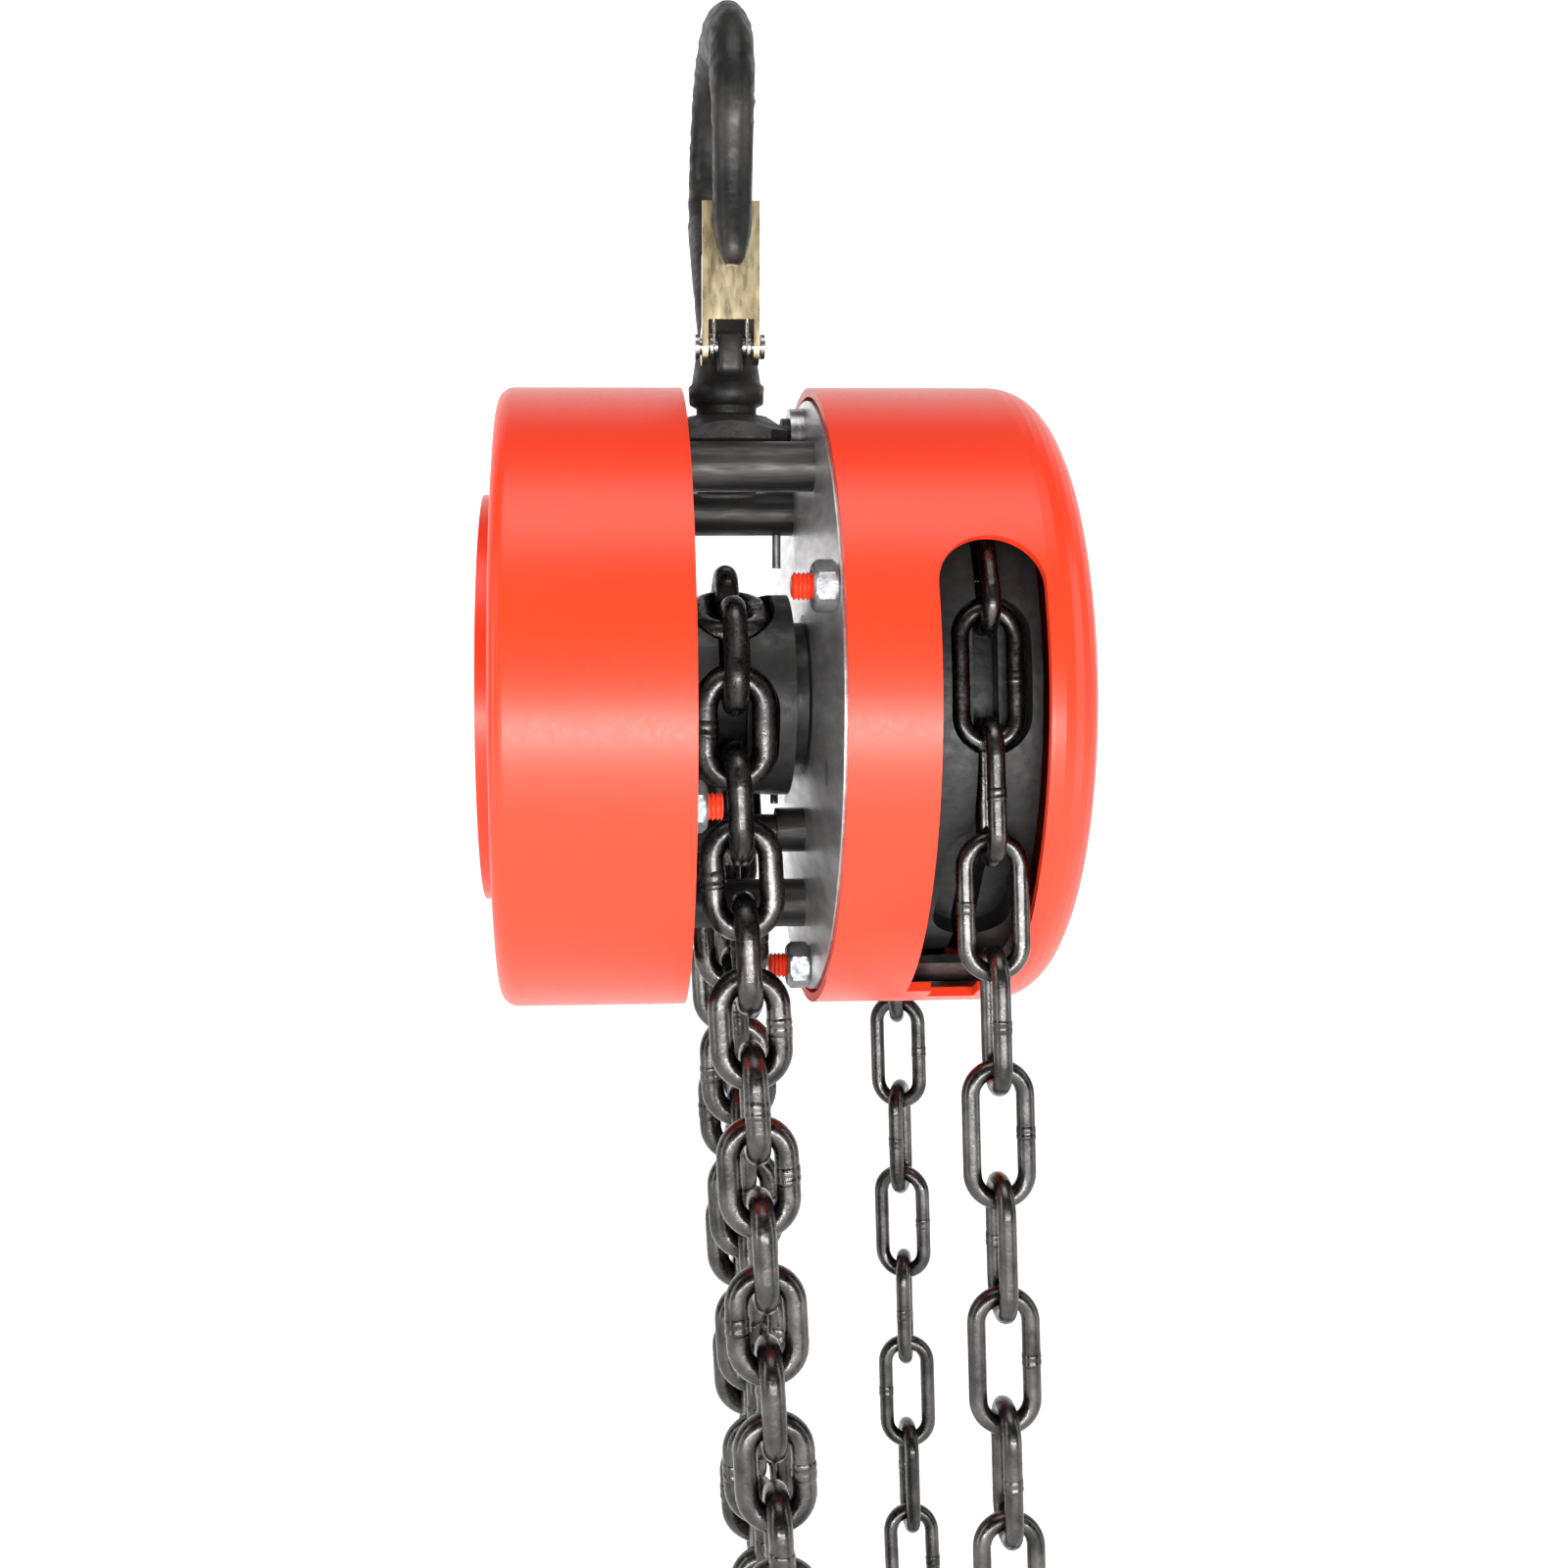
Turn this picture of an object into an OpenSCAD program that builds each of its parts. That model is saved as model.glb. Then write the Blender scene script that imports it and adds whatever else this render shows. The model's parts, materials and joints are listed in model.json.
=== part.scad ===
// Hand chain hoist: a drum-shaped body on a swivelling top hook, with a load chain and bottom hook
// and an endless hand chain. Origin: the seat of the top hook. +X runs from the gear cover to the
// hand wheel cover, -Y faces the operator, +Z is up. Body parts are drawn around the wheel axis.

/* [Body] */
// Outer diameter of both round covers
cover_d = 152; // [150:1:156]
// Sheet thickness of the covers
cover_t = 2.2; // [1.8:0.1:2.4]
// Height of the top hook's seat above the wheel axis
hook_drop = 155; // [152:1:165]
// Thickness of the two side plates
plate_t = 4; // [3.5:0.1:4]
// Diameter of the stay bars
stay_d = 12; // [10:0.5:12.5]

/* [Load chain] */
// Wire diameter of the load chain
load_wire = 6; // [5.8:0.1:6]
// Inside length of a load chain link
load_pitch = 18; // [18:0.1:18.3]
// Outside width of a load chain link
load_link_w = 20; // [19.6:0.1:20.2]
// Links that hang below the sheave down to the bottom hook
load_links = 15; // [9:2:17]

/* [Hand chain] */
// Wire diameter of the hand chain
hand_wire = 4; // [3.8:0.1:4]
// Inside length of a hand chain link
hand_pitch = 25; // [24.8:0.1:25]
// Outside width of a hand chain link
hand_link_w = 16; // [15.6:0.1:16]
// Pairs of links in each hanging side of the hand chain
hand_pairs = 4; // [2:1:5]

/* [Hanging] */
// Lean of the load chain against the body, which hangs a little out of level
load_lean = 3; // [0:0.5:4]
// Lean of the hand chain
hand_lean = 1.5; // [0:0.5:2]
// Twist of the rear side of the hand chain
rear_twist = 22; // [0:1:24]

/* [Gears] */
// Gear module
module_mm = 1.5; // [1.5:0.1:1.5]
// Play between meshing teeth
backlash = 0.25; // [0.2:0.05:0.3]

/* [Hidden] */
$fn = 64;
slip = 0.1;                                  // gap between touching chain links
run = 0.05;                                  // radial clearance of a running fit
seat = 0.02;                                 // radial gap of a fixed fit
e = 0.5;                                     // overshoot of a cut

// stations along the wheel axis
gear_end_x = -56;
gear_rim_x = -12;
gear_plate_x = [-15.1 - plate_t, -15.1];
wheel_plate_x = [19, 19 + plate_t];
wheel_rim_x = 19.4;
wheel_end_x = 75;
hand_x = 51.8;                               // plane of the hand chain
end_plate_x = [-51, -48];
raised_t = 4;
raised_r = 50;
cover_r = cover_d / 2;
plate_r = cover_r - cover_t - 1;

// chain wheels: the flat links' end wires lie on a circle of this radius
load_n = 4;
hand_n = 8;
load_phase = 18.7;                           // counted from the rear
hand_phase = 5.5;
// half distance between a flat link's end wires, and between the flat links at an upright link
load_half = (load_pitch + load_wire) / 2;
load_gap = (load_pitch - load_wire) / 2 - slip / 2;
hand_half = (hand_pitch + hand_wire) / 2;
hand_gap = (hand_pitch - hand_wire) / 2 - slip / 2;
function wheel_r(n, a, b) = sqrt(a * a + b * b + 2 * a * b * cos(180 / n)) / sin(180 / n);
load_r = wheel_r(load_n, load_half, load_gap);
hand_r = wheel_r(hand_n, hand_half, hand_gap);
load_a = asin(load_half / load_r);           // half angle of a flat link
load_b = 180 / load_n - load_a;              // half angle of an upright link
hand_a = asin(hand_half / hand_r);
hand_b = 180 / hand_n - hand_a;
load_step = load_half + load_gap;            // distance between hanging links
hand_step = hand_half + hand_gap;
sheave_r = 25;
sheave_w = 14.7;
hand_wheel_r = 66.4;
hand_wheel_w = 22;

// places around the axis, as radius and angle above the front
front_stay = [58.7, 70];
rear_stay = [52.8, 117];
lower_stay = [52.4, -90];
stripper_at = [34, -90];
trunnion_z = 64;
trunnion_r = 5;
stud_r = 67;
gear_studs = [-18.8, 112, 203];
wheel_studs = [22.5, 168, 280];
posts = [[44, 90], [50, 140], [45, 297]];
pawl_r = 47;
pawl_angles = [-20, 160];

// gear train: pinion, two disc gears with pinions, load gear
pa = 25;
pinion_n = 10;
disc_n = 40;
disc_pinion_n = 12;
load_gear_n = 38;
add = 0.8 * module_mm;
ded = 1.0 * module_mm;
centre_d = (pinion_n + disc_n) * module_mm / 2;
disc_angles = [10, 190];
shaft_r = 6;

// brake, stations along the axis
hub_x = [23.8, 28.2];
ratchet_x = [31.2, 36.2];
hub_end_x = 39.4;
wheel_hub_x = 39.5;
sleeve_r = 18;
ratchet_n = 24;
ratchet_tip = 36.5;
ratchet_root = 33;
ratchet_turn = 5.5;

// hooks, in the plane x = 0
bowl_r = 19;
bowl_z = -bowl_r;
shank_r = 7.5;
latch_y = -11;
latch_z = -70;
latch_pin_r = 2;
latch_tilt = 2;
crosshead_z = [-94.5, -86];
boss_h = 4.4;                                // straight part of its boss
anchor_r = 3.4;
chain_pin_r = 2.5;

// ---- helpers ----

// a disc or rod along X from x0 to x1
module rod(r, x0, x1, sides = 64) {
    translate([x0, 0, 0]) rotate([0, 90, 0]) cylinder(r = r, h = x1 - x0, $fn = sides);
}

// a ring along X
module ring(r_out, r_in, x0, x1) {
    difference() {
        rod(r_out, x0, x1);
        rod(r_in, x0 - e, x1 + e);
    }
}

// a hexagon across flats, along X
module hex(flats, x0, x1) {
    rod(flats / 2 / cos(30), x0, x1, 6);
}

// moves to radius at[0], at[1] degrees above the front
module at_polar(at) {
    translate([0, -at[0] * cos(at[1]), at[0] * sin(at[1])]) children();
}

// turns local Z outward, at a degrees above the front
module radial(a) {
    rotate([-a, 0, 0]) rotate([90, 0, 0]) children();
}

// draws a (Y, Z) outline from x0 to x1
module plate_yz(x0, x1) {
    translate([x0, 0, 0]) rotate([90, 0, 90]) linear_extrude(x1 - x0) children();
}

// a profile of (radius, x) points turned around X, from angle a0 over sweep degrees
module turned(points, a0 = 0, sweep = 360) {
    rotate([a0, 0, 0]) rotate([90, 0, 90]) rotate_extrude(angle = sweep, $fn = 96) polygon(points);
}

module at_axis() {
    translate([0, 0, -hook_drop]) children();
}

// ---- chain links ----

// a link along Z, flat in the XZ plane, from two straight wires and two half rings
module link(p, d, w) {
    bend = (w - d) / 2;
    half = (p + d) / 2 - bend;
    for (s = [-1, 1]) {
        translate([s * bend, 0, -half]) cylinder(d = d, h = 2 * half, $fn = 32);
        translate([0, 0, s * half]) rotate([s * 90, 0, 0])
            rotate_extrude(angle = 180, $fn = 48) translate([bend, 0]) circle(d = d, $fn = 32);
    }
}
module load_link() {
    link(load_pitch, load_wire, load_link_w);
}
module hand_link() {
    link(hand_pitch, hand_wire, hand_link_w);
}

// a link of a wheel wrap: centre on radius r at a degrees above the front, flat or upright
module on_wheel(r, a, flat) {
    rotate([-a, 0, 0]) translate([0, -r, 0]) rotate([0, 0, flat ? 0 : 90]) children();
}

// wraps over the top half of a wheel, from the front flat link to the last upright one
module wrap(n, phase, r, a, b) {
    for (k = [0 : n / 2 - 1]) {
        on_wheel(r * cos(a), phase + k * 360 / n, true) children();
        on_wheel(r * cos(b), phase + (k + 0.5) * 360 / n, false) children();
    }
}

// leans what hangs below height z about the Y axis
module lean(z, a) {
    translate([0, 0, z]) rotate([0, -a, 0]) translate([0, 0, -z]) children();
}

// where the straight sides leave the wheels, and the heights they lean about
load_side_y = load_r * cos(load_phase - load_a);
load_rear_z = load_r * sin(load_phase - load_a); // end wire of the last flat link on the sheave
load_flat_z = -load_rear_z - load_half;          // centre of the flat link hanging in front
load_first_z = load_flat_z - load_step;          // first link that swings
load_pivot_z = load_first_z + load_half;
hand_side_y = hand_r * cos(hand_phase - hand_a);
hand_front_z = hand_r * sin(hand_phase - hand_a);
hand_first_z = hand_front_z - hand_gap;
hand_rear_z = -hand_front_z - hand_half;         // centre of the flat link behind the wheel
hand_pivot_z = (hand_front_z + hand_rear_z - hand_half) / 2 + hand_wire;
loop_links = 2 * hand_pairs + 1;                 // links in each hanging side
loop_z = hand_first_z - loop_links * hand_step + hand_rear_z;

// the slack side of the load chain: links down, two links that turn it, links up to the anchor
slack_down = 16;
slack_up = slack_down - 1;
turn_a = 60;                                     // fall of the first turning link
turn_b = 50;                                     // rise of the second
slack_first_z = load_rear_z - load_gap;
slack_pivot_z = slack_first_z - load_gap;
slack_low_z = slack_first_z - (slack_down - 1) * load_step - load_half;
turn_z = slack_low_z - 2 * load_gap * sin(turn_a);
slack_gap_y = 2 * load_gap * cos(turn_a) + 2 * load_half * cos(turn_b);
rise_z = turn_z + 2 * load_half * sin(turn_b) + load_gap;    // first link of the rising side
anchor_y = load_side_y + slack_gap_y;
anchor_z = rise_z + (slack_up - 1) * load_step + load_pitch / 2 - anchor_r - 4 * slip;
anchor_at = [norm([anchor_y, anchor_z]), 180 - atan2(anchor_z, anchor_y)];

// ---- gear outlines ----

function inv_deg(a) = tan(a) * 180 / PI - a;
function half_tooth(n, r) =
    let (rp = module_mm * n / 2, base = rp * cos(pa), a = acos(min(1, base / r)))
    90 / n - backlash / 4 / rp * 180 / PI + inv_deg(pa) - inv_deg(a);
function polar_pt(r, a) = [r * cos(a), r * sin(a)];
// outline of a gear with a tooth centred at the angle turn
function gear_outline(n, turn, steps) =
    let (r0 = module_mm * n / 2 - ded, r1 = module_mm * n / 2 + add)
    [for (k = [0 : n - 1], i = [0 : 2 * steps + 1])
        let (side = i <= steps ? -1 : 1, j = i <= steps ? i : 2 * steps + 1 - i,
            r = r0 + (r1 - r0) * j / steps)
        polar_pt(r, turn + k * 360 / n + side * half_tooth(n, r))];
// mathematical angle in the YZ plane of a place a degrees above the front
function yz(a) = 180 - a;

// ---- top hook and its crosshead ----

// the bent bar of a hook as rings of an ellipse: in-plane half thickness b, half width w
hook_path = [
    // y, z, direction of the bar in degrees, b, w
    for (i = [0 : 3]) [2 * i * i / 3, -76 + i * 7, 90 - i * 12, 7.5 + i * 0.4, 8 + i * 0.5],
    for (i = [0 : 14]) let (a = -42 + i * 16.2, t = i / 14, b = 8.6 - 0.6 * t - 3.6 * pow(t, 4))
        [(bowl_r + b) * cos(a), bowl_z + (bowl_r + b) * sin(a), a + 90, b, 10 - 4.6 * t],
    [-21.5, -42, 258, 4.4, 5.2], [-22.6, -48, 262, 3.4, 4.4], [-23, -52.8, 266, 1.4, 2.4]
];
ring_n = 16;
function hook_ring(s) = [for (k = [0 : ring_n - 1])
    let (a = k * 360 / ring_n, u = s[3] * cos(a), v = s[4] * sin(a))
    [v, s[0] + u * sin(s[2]), s[1] - u * cos(s[2])]];
module hook_bar() {
    rings = len(hook_path);
    polyhedron(
        points = [for (s = hook_path) each hook_ring(s)],
        faces = concat(
            [[for (k = [ring_n - 1 : -1 : 0]) k]],
            [for (i = [0 : rings - 2], k = [0 : ring_n - 1]) let (m = (k + 1) % ring_n)
                [i * ring_n + k, i * ring_n + m, (i + 1) * ring_n + m, (i + 1) * ring_n + k]],
            [[for (k = [0 : ring_n - 1]) (rings - 1) * ring_n + k]]));
}

// a hook from its bar down to the shoulder of its shank, with the cheeks that hold the latch pin
module hook_form(shank_low) {
    difference() {
        union() {
            hook_bar();
            translate([0, 0, -80]) cylinder(r1 = 8.8, r2 = 7.6, h = 9, $fn = 48);
            translate([0, 0, -81]) cylinder(r = 9.3, h = 3);
            translate([-3, latch_y - 4, latch_z - 7]) cube([6, 14, 10.5]);
            translate([0, 0, shank_low]) cylinder(r = shank_r, h = -80.5 - shank_low);
        }
        translate([0, latch_y, latch_z]) rod(latch_pin_r + seat, -8, 8, 32);
    }
}

module top_hook() color("#2b2a29") {
    hook_form(-105.4);
}
module hook_nut() color("#3a3a3b") difference() {
    translate([0, 0, -104.5]) cylinder(r = 10, h = 9.7, $fn = 6);
    translate([0, 0, -106]) cylinder(r = shank_r + seat, h = 12);
    translate([0, 0, -100]) rod(1.6, -12, 12, 24);
}
// the pin that locks the nut to the shank, in two halves outside the shank
module hook_lock_pin() color("#8d8f90") translate([0, 0, -100]) difference() {
    rod(1.5, -10.6, 10.6, 24);
    translate([0, 0, -5]) cylinder(r = shank_r + seat, h = 10);
}
module latch_pin() color("#8d8f90") translate([0, latch_y, latch_z]) {
    rod(latch_pin_r, -7.4, 7.4, 32);
    for (s = [-1, 1]) translate([s * 7.9, 0, 0]) rod(3, -0.5, 0.5, 32);
}
module top_latch_pin() {
    latch_pin();
}
// torsion spring around the latch pin: two coils outside the hook's cheek, and a leg on the plate
module latch_spring() color("#b9bcc0") translate([0, latch_y, latch_z]) {
    for (s = [-1, 1]) {
        ring(3.4, 2.3, s * 4.4 - 0.9, s * 4.4 + 0.9);
        translate([s * 4.4, -2.9, 0]) rotate([latch_tilt, 0, 0]) cylinder(r = 0.5, h = 15, $fn = 24);
    }
}
module top_latch_spring() {
    latch_spring();
}
// sheet latch: a tongue that bears on the inner side of the tip, and two ears on the pin
module latch() color("#c8a54a") translate([0, latch_y, latch_z]) rotate([latch_tilt, 0, 0]) {
    difference() {
        union() {
            translate([-6.9, -5, 6]) cube([13.8, 1.4, 28]);
            for (s = [-1, 1]) translate([s * 6.2 - 0.7, -5, -0.5]) cube([1.4, 4, 22]);
            for (s = [-1, 1]) translate([s * 6.2, 0, 0]) rod(4.6, -0.7, 0.7);
        }
        rod(latch_pin_r + run, -9, 9, 32);
    }
}
module top_latch() {
    latch();
}

module crosshead() color("#2e2d2c") {
    difference() {
        union() {
            translate([0, 0, crosshead_z[0]]) intersection() {
                union() {
                    cylinder(r = 16.6, h = boss_h);
                    translate([0, 0, boss_h]) cylinder(r1 = 16.6, r2 = 10.4,
                        h = crosshead_z[1] - crosshead_z[0] - boss_h);
                }
                translate([-14.4, -13.4, 0]) cube([28.8, 26.8, crosshead_z[1] - crosshead_z[0]]);
            }
            at_axis() translate([0, 0, trunnion_z]) {
                rod(trunnion_r, gear_plate_x[0], -13.6);
                rod(trunnion_r, 13.6, wheel_plate_x[1]);
            }
        }
        translate([0, 0, crosshead_z[0] - e]) cylinder(r = shank_r + run, h = 12);
    }
}
module trunnion_washers() color("#55524e") at_axis() translate([0, 0, trunnion_z]) {
    ring(7.5, trunnion_r + run, 15.4, 18.9);
}

// ---- body frame ----

// holes that both side plates share
module plate_holes(x, studs) {
    for (s = [front_stay, rear_stay, lower_stay]) at_polar(s) rod(4 + seat, x[0] - e, x[1] + e, 32);
    at_polar(anchor_at) rod(anchor_r + seat, x[0] - e, x[1] + e, 32);
    at_polar(stripper_at) rod(3 + seat, x[0] - e, x[1] + e, 32);
    translate([0, 0, trunnion_z]) rod(trunnion_r + run, x[0] - e, x[1] + e);
    for (a = studs) at_polar([stud_r, a]) rod(3.2, x[0] - e, x[1] + e, 32);
    rod(20 + seat, x[0] - e, x[1] + e);
}
module gear_side_plate() color("#c9cacb") at_axis() difference() {
    rod(plate_r, gear_plate_x[0], gear_plate_x[1], 128);
    plate_holes(gear_plate_x, gear_studs);
    for (a = disc_angles) at_polar([centre_d, a]) rod(4 + run, gear_plate_x[0] - e, 0, 32);
    for (s = posts) at_polar(s) rod(3 + seat, gear_plate_x[0] - e, 0, 32);
}
module wheel_side_plate() color("#c9cacb") at_axis() difference() {
    rod(plate_r, wheel_plate_x[0], wheel_plate_x[1], 128);
    plate_holes(wheel_plate_x, wheel_studs);
    for (a = pawl_angles) at_polar([pawl_r, a]) rod(3 + seat, 0, wheel_plate_x[1] + e, 32);
}
// a bar shouldered between the plates, with ends that pass through them
module stay(at, r, r_end, over) color("#2f2e2d") at_axis() at_polar(at) {
    rod(r, gear_plate_x[1], wheel_plate_x[0], 48);
    rod(r_end, gear_plate_x[0] - over, wheel_plate_x[1] + over, 32);
}
module upper_front_stay() {
    stay(front_stay, stay_d / 2, 4, 6);
}
module upper_rear_stay() {
    difference() {
        stay(rear_stay, stay_d / 2, 4, 6);
        at_axis() at_polar(rear_stay) translate([15, 0, -8]) cylinder(r = 1.3, h = 16, $fn = 24);
    }
}
module lower_stay() {
    stay(lower_stay, stay_d / 2, 4, 6);
}
module stay_nuts() color("#7c7d7e") at_axis() {
    for (s = [front_stay, rear_stay, lower_stay]) at_polar(s) difference() {
        union() {
            hex(12.6, gear_plate_x[0] - 5, gear_plate_x[0]);
            hex(12.6, wheel_plate_x[1], wheel_plate_x[1] + 4.2);
        }
        rod(4 + seat, -40, 40, 32);
    }
}
// split pins: an eye above, two legs below
module split_pin(length) {
    difference() {
        union() {
            translate([0, 0, -length]) cylinder(r = 1.15, h = length, $fn = 24);
            translate([0, 0, 2.2]) rod(2.8, -1.1, 1.1, 32);
        }
        translate([0, 0, 2.2]) rod(1.3, -2, 2, 24);
    }
}
module split_pins() color("#4a4a4b") at_axis() {
    at_polar(rear_stay) translate([15, 0, stay_d / 2 + 0.4]) split_pin(21);
    at_polar(anchor_at) for (x = [-13, 16.4]) translate([x, 0, anchor_r + 0.4]) split_pin(14);
}
module sheave_bearings() color("#9a9c9e") at_axis() {
    ring(20, 13 + run, gear_plate_x[0], gear_plate_x[1]);
    ring(20, 13 + run, wheel_plate_x[0], wheel_plate_x[1]);
}
// pin below the sheave with a blade that reaches into the chain groove
module chain_stripper() color("#343332") at_axis() {
    at_polar(stripper_at) {
        rod(4, gear_plate_x[1], wheel_plate_x[0], 32);
        rod(3, gear_plate_x[0], wheel_plate_x[1], 32);
        rod(5.5, -8.5, -5.5, 32);
        rod(5.5, 12, wheel_plate_x[0], 32);
    }
    translate([-2.6, -4.5, -34]) cube([5.2, 9, 19]);
}
module chain_anchor_pin() color("#4b4a49") at_axis() at_polar(anchor_at) difference() {
    rod(anchor_r, gear_plate_x[0] - 3, wheel_plate_x[1] + 3, 32);
    for (x = [-13, 16.4]) translate([x, 0, -6]) cylinder(r = 1.3, h = 12, $fn = 24);
}
module gear_end_plate() color("#b4b5b6") at_axis() difference() {
    rod(56, end_plate_x[0], end_plate_x[1], 96);
    rod(8 + seat, end_plate_x[0] - e, end_plate_x[1] + e);
    for (a = disc_angles) at_polar([centre_d, a]) rod(4 + run, end_plate_x[0] - e, end_plate_x[1] + e, 32);
    for (s = posts) at_polar(s) rod(3 + seat, end_plate_x[0] - e, end_plate_x[1] + e, 32);
}
module gear_posts() color("#8a8b8c") at_axis() for (s = posts) at_polar(s) {
    rod(4.5, end_plate_x[1], gear_plate_x[0], 32);
    rod(3, end_plate_x[0] - 1.6, gear_plate_x[1], 32);
}
module shaft_end_bush() color("#b08d57") at_axis() {
    ring(8, shaft_r + run, end_plate_x[0], end_plate_x[1]);
}

// ---- covers ----

// outer and inner outline of a drum cover: (radius, x), closed at x_end, corner radius c
function corner(r, x, c, s) = [for (i = [0 : 8]) let (a = i * 90 / 8)
    [r - c + c * cos(a), x - s * (c - c * sin(a))]];
function drum(r, x_rim, x_end, c, t, s) = concat(
    [[r, x_rim]], corner(r, x_end, c, s), [[0, x_end], [0, x_end - s * t]],
    [for (i = [8 : -1 : 0]) let (a = i * 90 / 8, q = max(c - t, 0.6))
        [r - t - q + q * cos(a), x_end - s * t - s * (q - q * sin(a))]], [[r - t, x_rim]]);
// lug inside a cover's rim that carries a stud
module cover_lug(a, x0, x1) {
    intersection() {
        radial(a) translate([x0, -8, 61]) cube([x1 - x0, 16, 20]);
        rod(cover_r - cover_t + 0.3, x0, x1, 128);
    }
}
module gear_cover() color("#f2452c") at_axis() difference() {
    union() {
        turned(drum(cover_r, gear_rim_x, gear_end_x, 4, cover_t, -1));
        ring(raised_r, raised_r - 6, gear_end_x - raised_t, gear_end_x + 0.2);
        rod(raised_r - 5, gear_end_x - raised_t + 1.6, gear_end_x + 0.2);
        for (a = gear_studs) cover_lug(a, gear_plate_x[0] - 3, gear_plate_x[0] - 0.1);
    }
    for (a = gear_studs) at_polar([stud_r, a]) rod(3 + seat, -30, -15, 32);
}
module cover_stud(x0, x1) {
    rod(3, x0, x1, 32);
}
module gear_cover_studs() color("#d9402b") at_axis() {
    for (a = gear_studs) at_polar([stud_r, a]) cover_stud(gear_plate_x[0] - 4.5, -6);
}
module gear_cover_nuts() color("#6d6e70") at_axis() for (a = gear_studs) at_polar([stud_r, a])
    difference() {
        hex(10, gear_plate_x[1], gear_plate_x[1] + 5.6);
        rod(3 + seat, -40, 40, 32);
    }

slot_x = 50.7;
slot_w = 23;
slot_top = 28.5;
slot_low = -69;
slot_bend = 6;
// the opening that the hand chain runs through, front half
module chain_slot() {
    end_a = asin(slot_w / 2 / cover_r);
    low_a = asin(slot_bend / cover_r);
    half = slot_w / 2;
    turned([[60, slot_x - half], [80, slot_x - half], [80, slot_x + half], [60, slot_x + half]],
        180 - slot_top + end_a, slot_top - end_a - slot_low - low_a);
    radial(slot_top - end_a) translate([slot_x, 0, 60]) cylinder(r = half, h = 20);
    for (s = [-1, 1]) radial(slot_low + low_a)
        translate([slot_x + s * (half - slot_bend), 0, 60]) cylinder(r = slot_bend, h = 20);
    radial(slot_low + low_a) translate([slot_x - half + slot_bend, -slot_bend, 60])
        cube([slot_w - 2 * slot_bend, 2 * slot_bend, 20]);
}
module wheel_cover() color("#ee3d2a") at_axis() difference() {
    union() {
        turned(drum(cover_r, wheel_rim_x, wheel_end_x, 12, cover_t, 1));
        for (a = wheel_studs) cover_lug(a, wheel_plate_x[1] + 0.1, wheel_plate_x[1] + 3);
    }
    chain_slot();
    mirror([0, 1, 0]) chain_slot();
    for (a = wheel_studs) at_polar([stud_r, a]) rod(3 + seat, 15, 30, 32);
}
module wheel_cover_studs() color("#d9402b") at_axis() {
    for (a = wheel_studs) at_polar([stud_r, a]) cover_stud(9, wheel_plate_x[1] + 4.5);
}
module wheel_cover_nuts() color("#6d6e70") at_axis() for (a = wheel_studs) at_polar([stud_r, a])
    difference() {
        hex(10, wheel_plate_x[0] - 5.6, wheel_plate_x[0]);
        rod(3 + seat, -40, 40, 32);
    }
// bent strip under the hand wheel that keeps the chain in line
module hand_chain_guide() color("#262625") at_axis() {
    strip = function (x0, x1) [[69.4, x0], [71.4, x0], [71.4, x1], [69.4, x1]];
    turned(strip(28, 58), 239, 62);
    turned(strip(wheel_plate_x[1], 28.1), 239, 9);
    turned(strip(wheel_plate_x[1], 28.1), 286, 15);
}

// ---- hand wheel, brake and gears ----

module pinion_shaft() color("#8f9092") at_axis() {
    rod(shaft_r, end_plate_x[0], 71.6);
    plate_yz(-46, -36) polygon(gear_outline(pinion_n, yz(disc_angles[0]), 5));
}
module brake_hub() color("#77787a") at_axis() difference() {
    union() {
        rod(27, hub_x[0], hub_x[1]);
        rod(sleeve_r, hub_x[1] - 0.1, hub_end_x);
    }
    rod(shaft_r + seat, 20, 60);
}
module friction_discs() color("#6b5a45") at_axis() {
    ring(29, sleeve_r + seat, hub_x[1] + 0.05, ratchet_x[0] - 0.1);
    ring(29, sleeve_r + seat, ratchet_x[1] + 0.1, hub_end_x);
}
module ratchet_disc() color("#85878a") at_axis() difference() {
    plate_yz(ratchet_x[0], ratchet_x[1]) polygon([for (k = [0 : ratchet_n - 1], i = [0, 1])
        polar_pt(i == 0 ? ratchet_tip : ratchet_root, ratchet_turn + k * 360 / ratchet_n)]);
    rod(sleeve_r + run, 20, 50);
}
// a pawl whose tip sits ahead of the ratchet face at the angle c
module pawl(a) {
    c = yz(a) - 29.5;
    difference() {
        plate_yz(ratchet_x[0] + 0.3, ratchet_x[1] - 0.3) union() {
            polygon([for (p = [[33.8, 1.4], [35.4, 7], [38, 15], [42.6, 27], [47, 29.5], [51.4, 26],
                [44.5, 11], [38.5, 1.4]]) polar_pt(p[0], c + p[1])]);
            translate(polar_pt(pawl_r, yz(a))) circle(r = 5.4);
        }
        at_polar([pawl_r, a]) rod(3 + run, 20, 50, 32);
    }
}
module pawl_a() color("#7b7c7e") at_axis() {
    pawl(pawl_angles[0]);
}
module pawl_b() color("#7b7c7e") at_axis() {
    pawl(pawl_angles[1]);
}
module pawl_pins() color("#8d8f90") at_axis() for (a = pawl_angles) at_polar([pawl_r, a]) {
    rod(3, wheel_plate_x[0], ratchet_x[1] + 2.4, 32);
    rod(4.4, wheel_plate_x[1], wheel_plate_x[1] + 2, 32);
}
module pawl_clips() color("#9b9c9e") at_axis() for (a = pawl_angles) at_polar([pawl_r, a])
    ring(4.8, 3 + seat, ratchet_x[1] + 0.2, ratchet_x[1] + 1.2);
module pawl_springs() color("#b9bcc0") at_axis() for (a = pawl_angles) at_polar([pawl_r, a]) {
    ring(4.6, 3.3, 26.4, 30.8);
    rotate([a, 0, 0]) translate([27, 3.9, -14]) cylinder(r = 0.5, h = 14, $fn = 24);
}
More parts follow.
